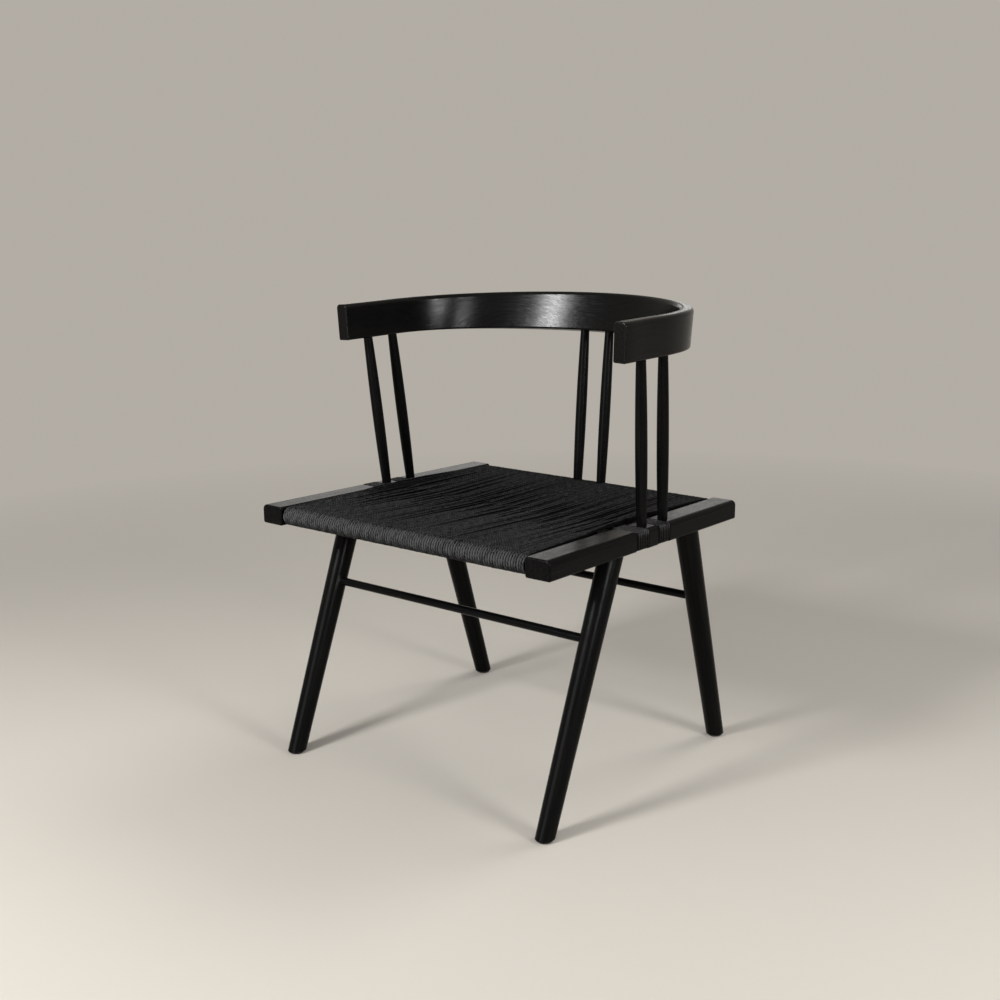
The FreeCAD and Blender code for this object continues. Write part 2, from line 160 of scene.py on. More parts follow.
def finishWood(tree, shader, grain, figure, specular):
    # rings and pores are noise drawn out along the grain; the rings set the colour, and both set gloss
    # and bump; figure deepens the rings, and specular is the polish
    stretch = tree.nodes.new("ShaderNodeMapping")
    stretch.inputs["Scale"].default_value = (wood["stretch"], 1, 1)
    link(tree, grain, stretch.inputs["Vector"])
    drawn = stretch.outputs["Vector"]
    rings = noiseNode(tree, drawn, wood["ringScale"], detail=3.0, roughness=0.55)
    pores = noiseNode(tree, drawn, wood["poreScale"], detail=2.0, roughness=0.6)
    pits = rangeNode(tree, pores, *wood["poreRange"], 0.0, 1.0)
    colour = rampNode(tree, rings, zip(wood["colourRange"], (wood["dark"], wood["pale"])))
    link(tree, colour, shader.inputs["Base Color"])
    gloss = mathNode(tree, "MULTIPLY", rings, pits)
    roughness = rangeNode(tree, gloss, *wood["glossRange"], wood["rough"], wood["smooth"])
    link(tree, roughness, shader.inputs["Roughness"])
    shader.inputs["Specular IOR Level"].default_value = specular
    raised = bumpNode(tree, rings, wood["ringDepth"] * figure, wood["ringStrength"])
    pitted = bumpNode(tree, pits, wood["poreDepth"], wood["poreStrength"], raised)
    link(tree, pitted, shader.inputs["Normal"])


def straightWood(name, axis):
    # object coordinates turned so that their X runs along the piece's own axis
    material, tree, shader = newMaterial(name)
    place = tree.nodes.new("ShaderNodeTexCoord")
    turn = tree.nodes.new("ShaderNodeMapping")
    toX = Vector(axis).rotation_difference(Vector((1, 0, 0)))
    turn.inputs["Rotation"].default_value = toX.to_euler()
    link(tree, place.outputs["Object"], turn.inputs["Vector"])
    finishWood(tree, shader, turn.outputs["Vector"], figure=1.0, specular=wood["specular"])
    return material


crest = {  # the bow that the grain of the crest rail follows
    "halfWidth": 0.2855,
    "depth": 0.2255,
    "bowY": 0.051 + seat["shiftY"],
    "radius": 0.255,
    "top": 0.75,
    "wave": 0.55,  # height of the grain's waves, as a share of the depth below the rail's top
    "waveStart": 0.085,  # this far left of the middle a wave runs down to the right
    "waveRun": 0.05,  # length of a wave over two pi
    "wander": 0.014,  # uneven drift of the grain
    "wanderScale": 12.0,
    "figure": 1.7,  # rings this much deeper than in the straight pieces
    "specular": 0.115,  # hands keep the crest glossier than the rest
}


def bentWood(name):
    # grain coordinates of a bent rail: X is the angle round the bow times its radius, plus the run of
    # the straight arm; Y is how far a point lies from the bow's middle, in shares of the bow times its
    # radius; Z is its height, moved by a sine along the rail that grows towards the lower edge, and by
    # a slow noise
    material, tree, shader = newMaterial(name)
    place = tree.nodes.new("ShaderNodeTexCoord")
    split = tree.nodes.new("ShaderNodeSeparateXYZ")
    link(tree, place.outputs["Object"], split.inputs["Vector"])

    def calc(operation, first, second=None):
        return mathNode(tree, operation, first, second)

    across = calc("DIVIDE", split.outputs["X"], crest["halfWidth"])
    behind = calc("SUBTRACT", split.outputs["Y"], crest["bowY"])
    bow = calc("DIVIDE", calc("MAXIMUM", behind, 0.0), crest["depth"])
    arm = calc("MULTIPLY", calc("MINIMUM", behind, 0.0), calc("SIGN", across))
    angle = calc("ARCTAN2", across, bow)
    along = calc("SUBTRACT", calc("MULTIPLY", angle, crest["radius"]), arm)
    squares = calc("ADD", calc("MULTIPLY", across, across), calc("MULTIPLY", bow, bow))
    outside = calc("MULTIPLY", calc("SQRT", squares), crest["radius"])
    below = calc("SUBTRACT", crest["top"], split.outputs["Z"])
    turned = calc("DIVIDE", calc("ADD", along, crest["waveStart"]), crest["waveRun"])
    wave = calc("MULTIPLY", below, calc("MULTIPLY", calc("SINE", turned), crest["wave"]))
    drift = noiseNode(tree, place.outputs["Object"], crest["wanderScale"], detail=1.0)
    moved = calc("ADD", wave, calc("MULTIPLY", drift, crest["wander"]))
    height = calc("ADD", split.outputs["Z"], moved)
    join = tree.nodes.new("ShaderNodeCombineXYZ")
    for socket, value in zip(join.inputs, (along, outside, height)):
        link(tree, value, socket)
    finishWood(tree, shader, join.outputs["Vector"], crest["figure"], crest["specular"])
    return material


cord = {  # twisted paper cord, dyed black
    "dark": (0.0008, 0.0008, 0.0009),
    "pale": (0.066, 0.066, 0.068),
    "colourRange": (0.2, 0.75),  # from dark to pale over these shades
    "sheen": 0.015,
    "sheenRoughness": 0.5,
    "fleckScale": 85.0,  # lighter and darker stretches along a strand
    "fleckShade": (0.55, 1.4),
    "fibreScale": 1600.0,
    "fibreStretch": 0.12,  # the fibres run this much slower along the strand
    "fibreDepth": 0.00012,
    "fibreStrength": 0.6,
}


def cordMaterial(name, roughness, specular):
    # the strand's own map has U along the cord and V round it, in metres, so that fibres and flecks
    # follow it; the shade that twistedStrand works out paints light on the cord's upper side and shade
    # between the plies, on its flanks and in slits
    material, tree, shader = newMaterial(name)
    place = tree.nodes.new("ShaderNodeUVMap")
    place.uv_map = "strand"
    stretch = tree.nodes.new("ShaderNodeMapping")
    stretch.inputs["Scale"].default_value = (cord["fibreStretch"], 1, 1)
    link(tree, place.outputs["UV"], stretch.inputs["Vector"])
    fibres = noiseNode(tree, stretch.outputs["Vector"], cord["fibreScale"], detail=3.0, roughness=0.6)
    shade = tree.nodes.new("ShaderNodeAttribute")
    shade.attribute_name = "strandToneAndPaintedShade"
    along = tree.nodes.new("ShaderNodeMapping")
    along.inputs["Scale"].default_value = (1, 0, 1)  # the same all round the strand
    link(tree, place.outputs["UV"], along.inputs["Vector"])
    flecks = noiseNode(tree, along.outputs["Vector"], cord["fleckScale"])
    flecks = rangeNode(tree, flecks, *noiseSpan, *cord["fleckShade"])
    mixed = mathNode(tree, "MULTIPLY", fibres, shade.outputs["Fac"])
    mixed = mathNode(tree, "MULTIPLY", mixed, flecks)
    colour = rampNode(tree, mixed, zip(cord["colourRange"], (cord["dark"], cord["pale"])))
    link(tree, colour, shader.inputs["Base Color"])
    link(tree, rangeNode(tree, fibres, *noiseSpan, *roughness), shader.inputs["Roughness"])
    shader.inputs["Specular IOR Level"].default_value = specular
    shader.inputs["Sheen Weight"].default_value = cord["sheen"]
    shader.inputs["Sheen Roughness"].default_value = cord["sheenRoughness"]
    raised = bumpNode(tree, fibres, cord["fibreDepth"], cord["fibreStrength"])
    link(tree, raised, shader.inputs["Normal"])
    return material


glide = {  # moulded plastic
    "dark": (0.008, 0.008, 0.008),
    "pale": (0.016, 0.016, 0.016),
    "roughness": (0.45, 0.6),
    "metallic": 0.0,
    "grainScale": 900.0,
    "grainDepth": 0.00005,
    "grainStrength": 0.4,
}
tack = {  # drawn steel wire
    "dark": (0.25, 0.25, 0.26),
    "pale": (0.4, 0.4, 0.41),
    "roughness": (0.25, 0.4),
    "metallic": 1.0,
    "grainScale": 1200.0,
    "grainDepth": 0.00002,
    "grainStrength": 0.4,
}


def plainMaterial(name, finish):
    # fine grain on object coordinates, for moulded plastic and wire
    material, tree, shader = newMaterial(name)
    place = tree.nodes.new("ShaderNodeTexCoord")
    grain = noiseNode(tree, place.outputs["Object"], finish["grainScale"])
    colour = rampNode(tree, grain, zip(noiseSpan, (finish["dark"], finish["pale"])))
    link(tree, colour, shader.inputs["Base Color"])
    roughness = rangeNode(tree, grain, *noiseSpan, *finish["roughness"])
    link(tree, roughness, shader.inputs["Roughness"])
    shader.inputs["Metallic"].default_value = finish["metallic"]
    raised = bumpNode(tree, grain, finish["grainDepth"], finish["grainStrength"])
    link(tree, raised, shader.inputs["Normal"])
    return material


def longAxis(node):
    # the direction in which the node's points spread the most
    mesh = nodes[node].data
    points = np.empty(len(mesh.vertices) * 3)
    mesh.vertices.foreach_get("co", points)
    points = points.reshape(-1, 3)
    spread = np.linalg.svd(points - points.mean(0), full_matrices=False)[2]
    return spread[0]


def dress(name, material):
    # the node's one material
    nodes[name].data.materials.clear()
    nodes[name].data.materials.append(material)


straightEnds = ("_leg", "_spindle", "_stretcher", "_side_rail", "_seat_rail")
straightNodes = [name for name in nodes if name.endswith(straightEnds)]
glideNodes = [name for name in nodes if name.endswith("_glide")]
for name in straightNodes:
    dress(name, straightWood("lacquered_" + name, longAxis(name)))
dress("crest_rail", bentWood("lacquered_crest_rail"))
glidePlastic = plainMaterial("glide_plastic", glide)
for name in glideNodes:
    dress(name, glidePlastic)
dress("cord_tacks", plainMaterial("tack_steel", tack))
warpCord = cordMaterial("black_cord", roughness=(0.85, 0.68), specular=0.04)
# the weft is pulled hard over the rails
weftCord = cordMaterial("burnished_cord", roughness=(0.45, 0.3), specular=0.11)
print("wood, plastic and steel finishes on", len(straightNodes) + len(glideNodes) + 2, "nodes")


# cord


twist = {  # three plies, laid up
    "lay": 0.01652,  # length of one full turn
    "sides": 12,
    "step": 0.0029,  # between the rings of points along a strand
    "drift": 0.16,  # radians by which a ring is out of turn with the last
    "hollow": 0.6,  # painted shade between the plies
    "paintedUndersideShade": 0.09,  # painted shade on the flanks and on the side the cord lies on
}


def twistedStrand(path, across, shade, swell, lay):
    # a three-lobed section carried along each path: its radius falls by the valley share between the
    # lobes, as one less the absolute cosine of one and a half times the angle, and it turns once in
    # each lay length, give or take a drift that adds up along the strand
    # path and across have the shape strands, steps, 3; shade and swell, which thickens the cord, have
    # strands, steps; lay holds the cord's radius and valley share
    # the shade is painted: painted light on the plies and on the upper side, away from what the cord
    # lies on, and painted shade between the plies and on the flanks
    # returns points, faces, end caps, map and shade of all strands
    strands, steps = path.shape[:2]
    sides = twist["sides"]
    tangent = np.gradient(path, axis=1)
    tangent /= np.linalg.norm(tangent, axis=2, keepdims=True)
    side = across - tangent * np.sum(across * tangent, axis=2, keepdims=True)
    side /= np.linalg.norm(side, axis=2, keepdims=True)
    up = np.cross(tangent, side)
    run = np.zeros((strands, steps))
    run[:, 1:] = np.cumsum(np.linalg.norm(np.diff(path, axis=1), axis=2), axis=1)
    lobe = np.arange(sides) * (2 * math.pi / sides)
    ply = np.abs(np.cos(1.5 * lobe))
    radius = lay["radius"] * (1 - lay["valley"] * (1 - ply))
    drift = np.cumsum(rng.normal(0, twist["drift"], run.shape), axis=1)
    angle = lobe + (drift - 2 * math.pi * run / twist["lay"])[..., None]
    offset = side[:, :, None] * np.cos(angle)[..., None] + up[:, :, None] * np.sin(angle)[..., None]
    points = path[:, :, None] + offset * (swell[..., None] * radius)[..., None]
    ring = np.arange(sides)
    corner = (np.arange(strands)[:, None, None] * steps + np.arange(steps - 1)[:, None]) * sides
    first = corner + ring
    second = corner + np.roll(ring, -1)
    faces = np.stack([first, second, second + sides, first + sides], axis=-1).reshape(-1, 4)
    start = np.arange(strands)[:, None] * steps * sides
    caps = np.concatenate([start + ring[::-1], start + (steps - 1) * sides + ring])
    around = np.arange(sides + 1) * (2 * math.pi * seat["cordRadius"] / sides)
    low = np.broadcast_to(run[:, :-1, None], first.shape)
    high = np.broadcast_to(run[:, 1:, None], first.shape)
    left = np.broadcast_to(around[:-1], first.shape)
    right = np.broadcast_to(around[1:], first.shape)
    corners = np.stack([low, left, low, right, high, right, high, left], axis=-1).reshape(-1, 2)
    # painted light on the side facing away from what the cord lies on, painted shade on the flanks and
    # in the hollows between the plies
    paintedLight = twist["paintedUndersideShade"] + (1 - twist["paintedUndersideShade"]) * smoothStep(np.sin(angle))
    toneAndPaintedShade = shade[:, :, None] * paintedLight * (twist["hollow"] + (1 - twist["hollow"]) * ply)
    return points.reshape(-1, 3), faces, caps, corners, toneAndPaintedShade.reshape(-1)


def buildStrands(name, surface, material):
    # one mesh on the root body, with the map and shade that its cord material reads
    points, faces, caps, corners, toneAndPaintedShade = surface
    mesh = bpy.data.meshes.new(name)
    mesh.from_pydata(points, [], faces.tolist() + caps.tolist())
    flat = np.zeros((len(mesh.loops), 2))
    flat[: len(corners)] = corners
    mesh.uv_layers.new(name="strand").data.foreach_set("uv", flat.reshape(-1))
    mesh.attributes.new("strandToneAndPaintedShade", "FLOAT", "POINT").data.foreach_set("value", toneAndPaintedShade)
    mesh.polygons.foreach_set("use_smooth", np.ones(len(mesh.polygons), bool))
    mesh.materials.append(material)
    mesh.update()
    piece = bpy.data.objects.new(name, mesh)
    bpy.context.scene.collection.objects.link(piece)
    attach(piece, "root")
    return piece


warp = {  # cord wound round the front and rear seat rails
    "turns": 105,
    "radius": 0.00262,  # over the plies, which bed into their neighbours
    "valley": 0.2,  # depth of the hollows between the plies, as a share of the radius
    "reachY": 0.2396,  # axes of the seat rails
    "axisZ": -0.0154,
    "bendRadius": 0.0131,
    "weftY": (-0.0214, 0.0376),  # where the two bands of weft cross
    "weftHalf": 0.0144,  # half the width of a band
    "drawIn": 0.005,  # the weft draws the sides in by this much
    "pinch": 0.0072,  # and the upper and lower runs towards each other
    "pinchEdge": 0.07,  # the pinch fades out over this distance from the rails
    "bundle": (4, 6),  # fewest and most strands in a bundle
    "bundleDraws": 40,  # more than fill the seat
    "squeeze": 0.43,  # how much the tightest bundle closes up at the weft
    "squeezeLeast": 0.12,  # share of that in the loosest
    "squeezeSkew": 1.3,  # over one, so that loose bundles are commoner
    "wedge": (0.045, 0.22),  # shortest and longest slit, from the weft outwards
    "wedgeSkew": 1.5,  # over one, so that short slits are commoner
    "wedgeTaper": 0.6,  # under one, so that a slit closes late
    "between": 0.045,  # longest slit towards the other band
    "crown": 0.003,  # bundles stand up in their middle
    "crownShare": 0.65,  # this much of the crown is up, and the rest is down at the bundle's edges
    "stack": 0.0011,  # every second strand of a bundle is pushed up
    "lift": 0.0027,  # the edge strands ride over the weft
    "liftWidth": 0.034,
    "liftFront": 0.06,  # how far the lift reaches before and behind the weft
    "liftRear": 0.12,
    "edgeLift": 0.0012,  # and stand a little over the rails elsewhere
    "edgeLiftFade": 0.05,  # fading out over this distance from the seat rails
    "shade": (0.84, 1.14),  # darkest and palest strand
    "frontRollLight": 0.95,  # painted light: the upper half of the front roll is painted paler, as if lit from the front
    "rollLightFade": 0.008,  # the painted light grows over this depth in front of the seat rail's axis
    "rollFoot": (-0.75, 0.9),  # and upwards: its start and run, in shares of the bend's radius
    "rearShade": 0.2,  # painted shade: the rear half is painted darker
    "rearFade": (-0.06, 0.2),  # where that begins and its run
    "paintedShade": 0.5,  # painted shade on what has sunk beside a slit
    "slack": 0.12,  # the lower run is less tight, so the cord is thicker there
    "uneven": 0.00022,  # wander of a strand sideways
    "proud": 0.00013,  # and one strand's height against the next
    "perPiece": 15,
}


def warpLoop():
    # one turn seen from the side: up round the front rail, back along the top, down round the rear rail
    # and forward along the bottom; evenly spaced points by arc length
    arc = math.pi * warp["bendRadius"]
    flat = 2 * warp["reachY"]
    total = 2 * (arc + flat)
    steps = int(round(total / twist["step"]))
    s = np.arange(steps) * total / steps
    front = s < arc
    top = (s >= arc) & (s < arc + flat)
    rear = (s >= arc + flat) & (s < 2 * arc + flat)
    bottom = s >= 2 * arc + flat
    turn = np.where(front, s / arc, np.where(rear, (s - arc - flat) / arc, 0.0)) * math.pi
    y = np.select(
        [front, top, rear],
        [
            -warp["reachY"] - warp["bendRadius"] * np.sin(turn),
            -warp["reachY"] + (s - arc),
            warp["reachY"] + warp["bendRadius"] * np.sin(turn),
        ],
        warp["reachY"] - (s - 2 * arc - flat),
    )
    swing = warp["bendRadius"] * np.cos(turn)
    flatTop = np.full_like(s, warp["bendRadius"])
    z = np.select([front, top, rear], [-swing, flatTop, swing], -warp["bendRadius"])
    outY = np.where(front, -np.sin(turn), np.where(rear, np.sin(turn), 0.0))
    outZ = z / warp["bendRadius"]
    advance = np.where(bottom, (s - 2 * arc - flat) / flat, 0.0)
    return y, z + warp["axisZ"], outY, outZ, top, smoothStep(advance)


def bundleBreaks():
    # strand numbers at which one bundle ends and the next begins; the last takes up to two strands more
    fewest, most = warp["bundle"]
    sizes = rng.integers(fewest, most + 1, size=warp["bundleDraws"])
    ends = np.cumsum(sizes)
    return np.concatenate([[0], ends[ends < warp["turns"] - 2], [warp["turns"]]])


def squeezeShift(x, y, half):
    # each bundle closes up on its own middle beside a band of weft, most at the weft and less along a
    # wedge of its own length, so that slits open between the bundles; beside a rail it closes on its
    # outer strand; it stands up in its middle, and every second strand rides on its neighbours
    # low is one where a strand has sunk beside a slit, and marks where painted shade goes
    shift = np.zeros_like(x)
    rise = np.zeros_like(x)
    low = np.zeros_like(x)
    for weftY, outward in zip(warp["weftY"], (-1, 1)):
        breaks = bundleBreaks()
        strand = np.arange(warp["turns"])
        bundle = np.searchsorted(breaks, strand, side="right") - 1
        middles = (breaks[:-1] + breaks[1:]) / warp["turns"] - 1
        middles[0], middles[-1] = -1, 1  # beside the rails
        middle = middles[bundle]
        shortest, longest = warp["wedge"]
        draw = rng.uniform(0, 1, len(breaks))[bundle][:, None]
        length = shortest + (longest - shortest) * draw ** warp["wedgeSkew"]
        draw = rng.uniform(warp["squeezeLeast"], 1.0, len(breaks))[bundle][:, None]
        depth = draw ** warp["squeezeSkew"] * warp["squeeze"]
        away = (y - weftY) * outward
        reach = np.where(away > 0, length, np.minimum(length, warp["between"]))
        weight = np.clip(1 - np.abs(away) / reach, 0, None) ** warp["wedgeTaper"]
        toMiddle = middle[:, None] * half - x
        shift += toMiddle * depth * weight
        width = (breaks[1:] - breaks[:-1])[bundle][:, None] * half / warp["turns"]
        sunk = np.minimum(np.abs(toMiddle) / width, 1.0) ** 2
        stack = np.where(strand % 2, -1, 1)[:, None] * depth / warp["squeeze"]
        rise += weight * (warp["crown"] * (warp["crownShare"] - sunk) + warp["stack"] * stack)
        low += weight * sunk
    return shift, rise, np.minimum(low, 1.0)


def warpPaths():
    # every turn lies beside the last; its place across the seat is its share of the seat's width at
    # that depth, moved by the bundles on top and lifted over the weft beside the rails; from both seat
    # rails the runs lead straight to where the weft pinches them
    # the shade returned here is painted: painted light on the upper front roll and painted shade beside
    # the slits and over the rear half; slack is the strand's thickness
    y, z, outY, outZ, top, advance = warpLoop()
    count = np.arange(warp["turns"])[:, None]
    share = 2 * (count + advance + 0.5) / warp["turns"] - 1
    share = share.clip(-1 + 1 / warp["turns"], 1 - 1 / warp["turns"])
    edge = railInnerX(y) - seat["cordGap"] - seat["cordRadius"]
    edge = edge - warp["drawIn"] * (1 - (y / (seat["railLength"] / 2)) ** 2)
    x = share * edge
    shift, crowd, low = squeezeShift(x, y, edge)
    wobble = np.cumsum(rng.normal(0, 1, x.shape), axis=1)
    wobble -= np.linspace(0, 1, x.shape[1]) * wobble[:, -1:]
    wobble *= warp["uneven"] / np.abs(wobble).max(axis=1, keepdims=True)
    x = x + shift * top + wobble
    beside = smoothStep(1 - (edge - np.abs(x)) / warp["liftWidth"])
    front, rear = warp["weftY"]
    before = np.clip(front - warp["weftHalf"] - y, 0, None) / warp["liftFront"]
    behind = np.clip(y - rear - warp["weftHalf"], 0, None) / warp["liftRear"]
    overWeft = warp["lift"] * np.exp(-(before ** 2) - behind ** 2)
    overRail = warp["edgeLift"] * smoothStep((warp["reachY"] - np.abs(y)) / warp["edgeLiftFade"])
    lift = (overWeft + overRail) * beside * top
    proud = rng.normal(0, warp["proud"], (warp["turns"], 1))
    fromFront = (y + warp["reachY"]) / (front + warp["reachY"])
    fromRear = (warp["reachY"] - y) / (warp["reachY"] - rear)
    taut = np.clip(np.minimum(fromFront, fromRear), 0, 1)
    pinch = warp["pinch"] * taut * smoothStep((edge - np.abs(x)) / warp["pinchEdge"])
    rise = lift + crowd * top - pinch
    path = toRow(x, y + outY * proud, z + outZ * (proud + rise))
    across = np.broadcast_to(np.array([-1.0, 0.0, 0.0]), path.shape)
    # painted light: the upper half of the front roll is painted paler, as if lit from the front
    foot, footRun = warp["rollFoot"]
    roll = smoothStep((-warp["reachY"] - y) / warp["rollLightFade"]) * smoothStep((outZ - foot) / footRun)
    # painted shade darkens the strands sunk beside the slits
    paintedShading = 1 + warp["frontRollLight"] * roll - warp["paintedShade"] * low * top
    # painted shade: the rear half is painted darker
    fade, fadeRun = warp["rearFade"]
    paintedShading = paintedShading * (1 - warp["rearShade"] * smoothStep((y - fade) / fadeRun))
    slack = 1 + warp["slack"] * (outZ < -0.99)  # the lower run
    return path, across, paintedShading, slack


paths, crossways, paintedShading, slack = warpPaths()
# each strand's random tone times its painted light and shade
shades = rng.uniform(*warp["shade"], (warp["turns"], 1)) * paintedShading
groups = range(0, warp["turns"], warp["perPiece"])
for number, start in enumerate(groups, 1):
    # the turns of one piece are joined end to end into one long strand
    part = slice(start, start + warp["perPiece"])
    run = paths[part].reshape(1, -1, 3)
    ways = crossways[part].reshape(1, -1, 3)
    swells = np.tile(slack, len(shades[part]))[None]
    surface = twistedStrand(run, ways, shades[part].reshape(1, -1), swells, warp)
    piece = buildStrands("warp_cord_%d" % number, surface, warpCord)
    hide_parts("seat_warp")
print("warp wound:", warp["turns"], "turns in", len(groups), "pieces")


weft = {  # cord across the seat, inside the warp, round both side rails in front of the spindles
    "strands": 6,
    "radius": 0.0025,
    "valley": 0.12,
    "pitch": 0.0048,
    "topZ": -0.0023,  # on the rails
    "bottomZ": -0.0287,
    "innerTopZ": -0.0135,  # inside the warp
    "innerBottomZ": -0.0173,
    "clear": 0.001,  # a strand leaves the rail this far inside its inner edge
    "dip": 0.026,  # from that edge to where the strand lies flat inside the warp
    "bend": 0.010,  # length over which a corner is rounded
    "fineStep": 0.0004,  # of the outline before it is rounded
    "turnOn": (0.6, 0.3),  # where in a turn the strand moves on to the next place, and the run of that
    "uneven": 0.00015,  # wander of a strand sideways
    "paintedShade": 0.25,  # painted shade down the rail's outer face, underneath and inside the seat
    "paintedLightX": (0.012, 0.01),  # the painted light on top begins this far inside the rail's edge, and its run
    "paintedLightZ": (-0.0163, 0.012),  # and upwards from this depth, and its run
}


def weftLoop(middleY):
    # a closed outline round both rails, seen from the front: straight lines between the corners,
    # rounded by a running mean along its length, then evenly spaced points
    inner = float(railInnerX(middleY))
    outer = inner + seat["railWidth"] - seat["cordRadius"]
    right = np.array([
        (0.0, weft["innerTopZ"]),
        (inner - weft["dip"], weft["innerTopZ"]),
        (inner - weft["clear"], weft["topZ"]),
        (outer, weft["topZ"]),
        (outer, weft["bottomZ"]),
        (inner - weft["clear"], weft["bottomZ"]),
        (inner - weft["dip"], weft["innerBottomZ"]),
        (0.0, weft["innerBottomZ"]),
    ])
    left = right[::-1][1:-1] * (-1, 1)
    outline = np.concatenate([right, left, right[:1]])
    length = np.concatenate([[0], np.cumsum(np.linalg.norm(np.diff(outline, axis=0), axis=1))])
    fine = np.arange(0, length[-1], weft["fineStep"])
    x = np.interp(fine, length, outline[:, 0])
    z = np.interp(fine, length, outline[:, 1])
    window = np.hanning(int(weft["bend"] / weft["fineStep"]) | 1)  # an odd number of points
    window /= window.sum()
    half = len(window) // 2
    x = np.convolve(np.concatenate([x[-half:], x, x[:half]]), window, "valid")
    z = np.convolve(np.concatenate([z[-half:], z, z[:half]]), window, "valid")
    count = np.arange(len(fine))
    pick = np.linspace(0, len(fine) - 1, int(length[-1] / twist["step"]))
    return np.interp(pick, count, x), np.interp(pick, count, z)


for name, middleY in zip(("front_weft", "rear_weft"), warp["weftY"]):
    x, z = weftLoop(middleY)
    step = np.arange(len(x)) / len(x)
    moveOn, moveRun = weft["turnOn"]
    turnOn = smoothStep((step - moveOn) / moveRun)  # round the left rail
    last = (weft["strands"] - 1) / 2
    place = np.clip(np.arange(weft["strands"])[:, None] + turnOn - last, None, last)
    y = middleY + place * weft["pitch"] + rng.normal(0, weft["uneven"], (weft["strands"], 1))
    run = toRow(np.broadcast_to(x, y.shape), y, np.broadcast_to(z, y.shape)).reshape(1, -1, 3)
    ways = np.broadcast_to(np.array([0.0, 1.0, 0.0]), run.shape)
    # painted light on the weft's top over the rails, painted shade down their outer faces, underneath
    # and inside the seat
    inside, insideRun = weft["paintedLightX"]
    onRail = smoothStep((np.abs(x) - float(railInnerX(middleY)) + inside) / insideRun)
    depth, depthRun = weft["paintedLightZ"]
    paintedLight = onRail * smoothStep((z - depth) / depthRun)
    paintedLight = weft["paintedShade"] + (1 - weft["paintedShade"]) * paintedLight
    shade = np.broadcast_to(paintedLight, y.shape).reshape(1, -1)
    surface = twistedStrand(run, ways, shade, np.ones_like(shade), weft)
    piece = buildStrands(name + "_cord", surface, weftCord)
    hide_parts(name)
print("weft laid: two bands of", weft["strands"], "strands")


# stage


stage = {  # a pale studio without edges
    "floorReach": 30.0,
    "floorSides": 64,
    "floorColour": (0.56, 0.525, 0.47),
    "floorRoughness": 0.8,
    "floorSpecular": 0.2,
    "fadeStart": 1.3,  # from here outwards the floor passes into the background
    "fadeEnd": 2.6,
    "backgroundColour": (0.45, 0.42, 0.375),
    "worldLight": (1.0, 0.985, 0.96),
    "worldStrength": 0.25,
}


def seenByEye(tree):
    # one where a camera, glossy or transmission ray looks, nought for the light on the object
    rays = tree.nodes.new("ShaderNodeLightPath")
    direct = mathNode(tree, "MAXIMUM", rays.outputs["Is Camera Ray"], rays.outputs["Is Glossy Ray"])
    return mathNode(tree, "MAXIMUM", direct, rays.outputs["Is Transmission Ray"])


floorMesh = bpy.data.meshes.new("floor")
rim = np.linspace(0, 2 * math.pi, stage["floorSides"], endpoint=False)
rimPoints = np.stack([np.cos(rim), np.sin(rim), 0 * rim], axis=1) * stage["floorReach"]
floorMesh.from_pydata(rimPoints, [], [list(range(stage["floorSides"]))])
floor = bpy.data.objects.new("floor", floorMesh)
bpy.context.scene.collection.objects.link(floor)
floorMaterial, tree, floorShader = newMaterial("pale_floor")
floorShader.inputs["Base Color"].default_value = (*stage["floorColour"], 1)
floorShader.inputs["Roughness"].default_value = stage["floorRoughness"]
floorShader.inputs["Specular IOR Level"].default_value = stage["floorSpecular"]
place = tree.nodes.new("ShaderNodeTexCoord")
length = tree.nodes.new("ShaderNodeVectorMath")
length.operation = "LENGTH"
link(tree, place.outputs["Object"], length.inputs[0])
far = rangeNode(tree, length.outputs["Value"], stage["fadeStart"], stage["fadeEnd"], 0.0, 1.0)
glow = tree.nodes.new("ShaderNodeEmission")
glow.inputs["Color"].default_value = (*stage["backgroundColour"], 1)
fade = tree.nodes.new("ShaderNodeMixShader")
link(tree, mathNode(tree, "MULTIPLY", far, seenByEye(tree)), fade.inputs["Fac"])
link(tree, floorShader.outputs["BSDF"], fade.inputs[1])
link(tree, glow.outputs["Emission"], fade.inputs[2])
link(tree, fade.outputs["Shader"], tree.nodes["Material Output"].inputs["Surface"])
floorMesh.materials.append(floorMaterial)

world = bpy.data.worlds.new("studio")
bpy.context.scene.world = world
world.use_nodes = True
tree = world.node_tree
tree.nodes.clear()
lit = tree.nodes.new("ShaderNodeBackground")
lit.inputs["Color"].default_value = (*stage["worldLight"], 1)
lit.inputs["Strength"].default_value = stage["worldStrength"]
shown = tree.nodes.new("ShaderNodeBackground")
shown.inputs["Color"].default_value = (*stage["backgroundColour"], 1)
choose = tree.nodes.new("ShaderNodeMixShader")
output = tree.nodes.new("ShaderNodeOutputWorld")
link(tree, seenByEye(tree), choose.inputs["Fac"])
link(tree, lit.outputs["Background"], choose.inputs[1])
link(tree, shown.outputs["Background"], choose.inputs[2])
link(tree, choose.outputs["Shader"], output.inputs["Surface"])


def addLamp(name, kind, spot, aim, watts):
    # a lamp that shines from its spot to its aim and that the camera doesn't see
    data = bpy.data.lights.new(name, kind)
    data.energy = watts
    lamp = bpy.data.objects.new(name, data)
    lamp.location = spot
    lamp.rotation_euler = (Vector(aim) - Vector(spot)).to_track_quat("-Z", "Y").to_euler()
    lamp.visible_camera = False
    bpy.context.scene.collection.objects.link(lamp)
    return lamp


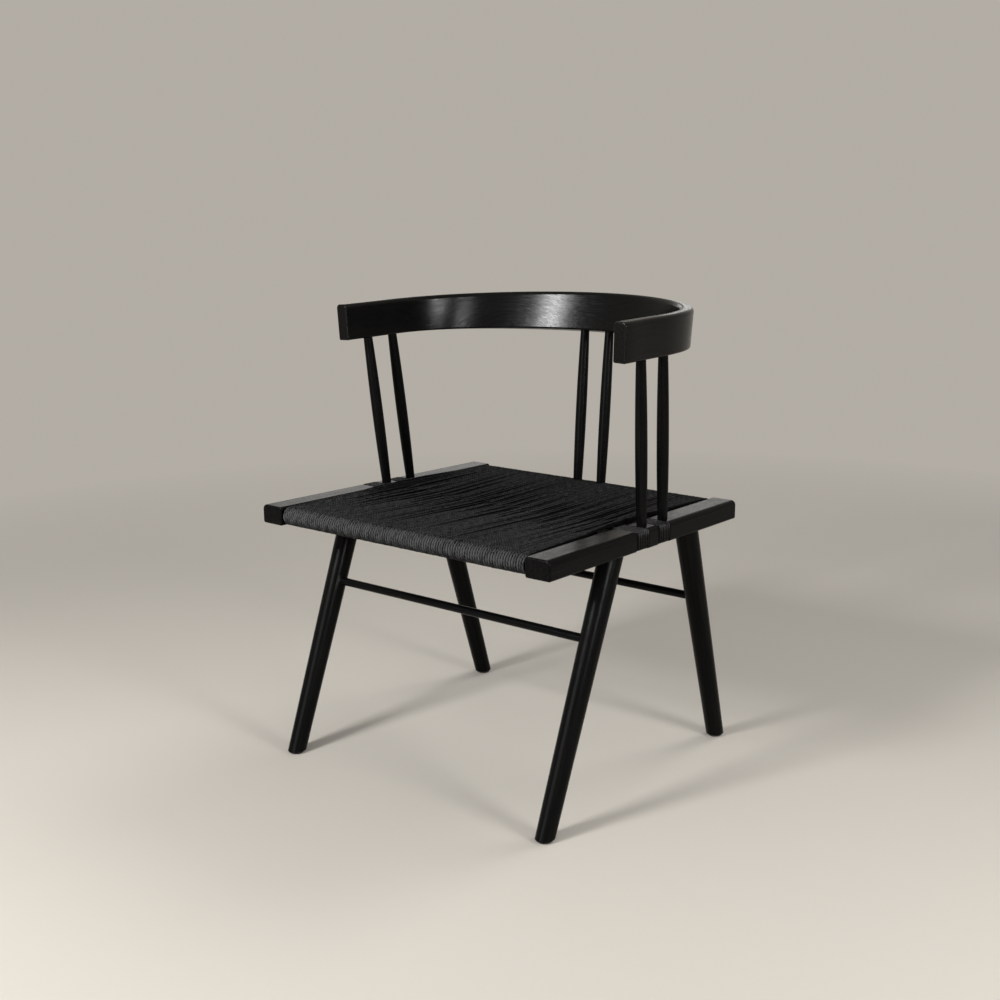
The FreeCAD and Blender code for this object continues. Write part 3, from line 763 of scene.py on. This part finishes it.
panels = {  # soft panels: place, aim, width, height, watts
    "front": ((-0.48, -2.15, 1.6), (0, 0.1, 0.6), 0.5, 0.36, 48),
    "low_front": ((-0.2, -2.4, 0.65), (0, -0.2, 0.4), 1.2, 0.8, 9),
    "right": ((2.28, -0.25, 1.0), (0, 0.1, 0.6), 0.6, 0.45, 28),
    "near_camera": ((2.0, -1.5, 0.95), (-0.2, 0.1, 0.7), 0.45, 0.25, 2.2),
    "left_rear": ((-2.07, 1.8, 0.87), (-0.27, 0, 0.43), 0.9, 0.6, 1.35),
    "rear_near": ((-1.17, 1.53, 1.09), (0.28, -0.27, 0.43), 0.35, 0.3, 0.52),
    "rear_far": ((-0.93, 2.22, 0.98), (0.27, 0.2, 0.42), 0.35, 0.3, 0.48),
    "overhead": ((0.2, -0.2, 2.9), (0, 0, 0.4), 2.6, 2.6, 3),
}
glints = {  # panels that the lacquer mirrors and that light nothing: place, aim, width, height, watts
    "front_glint": ((-0.48, -2.15, 1.6), (0, 0.1, 0.6), 0.42, 0.36, 58),
    "side_glint": ((1.93, -1.25, 0.95), (-0.2, 0.1, 0.7), 0.4, 0.3, 9),
}
for name, (spot, aim, width, height, watts) in (panels | glints).items():
    lamp = addLamp(name, "AREA", spot, aim, watts)
    lamp.data.shape = "RECTANGLE"
    lamp.data.size = width
    lamp.data.size_y = height
    lamp.visible_diffuse = name in panels
sunlight = {"spot": (0.7, 2.6, 2.6), "aim": (0, 0, 0.3), "strength": 0.9, "angle": 28}
sun = addLamp("behind", "SUN", sunlight["spot"], sunlight["aim"], sunlight["strength"])
sun.data.angle = math.radians(sunlight["angle"])
sun.visible_glossy = False  # it lights the floor, and the lacquer doesn't mirror it
print("floor, world and lamps set")

camera = {  # the photograph's viewpoint
    "azimuth": 38.55,
    "elevation": 15.4,
    "roll": -1.02,
    "distance": 2.23287,
    "aim": (0.06371, 0.01628, 0.35353),
    "lens": 48.485,
    "sensor": 36,
    "shift": (-0.0465, 0.04797),
    "clipEnd": 100,
}
turn, rise, roll = (math.radians(camera[key]) for key in ("azimuth", "elevation", "roll"))
back = Vector((math.sin(turn) * math.cos(rise), -math.cos(turn) * math.cos(rise), math.sin(rise)))
level = Vector((math.cos(turn), math.sin(turn), 0))
upright = back.cross(level)
rightward = level * math.cos(roll) + upright * math.sin(roll)
upward = upright * math.cos(roll) - level * math.sin(roll)
view = Matrix((rightward, upward, back)).transposed().to_4x4()
view.translation = Vector(camera["aim"]) + back * camera["distance"]
lensData = bpy.data.cameras.new("photo_view")
lensData.lens = camera["lens"]
lensData.sensor_width = camera["sensor"]
lensData.shift_x, lensData.shift_y = camera["shift"]
lensData.clip_end = camera["clipEnd"]
cameraObject = bpy.data.objects.new("photo_view", lensData)
cameraObject.matrix_world = view
bpy.context.scene.collection.objects.link(cameraObject)
bpy.context.scene.camera = cameraObject
bpy.context.scene.view_settings.view_transform = "Standard"
print("camera at", [round(value, 3) for value in view.translation])
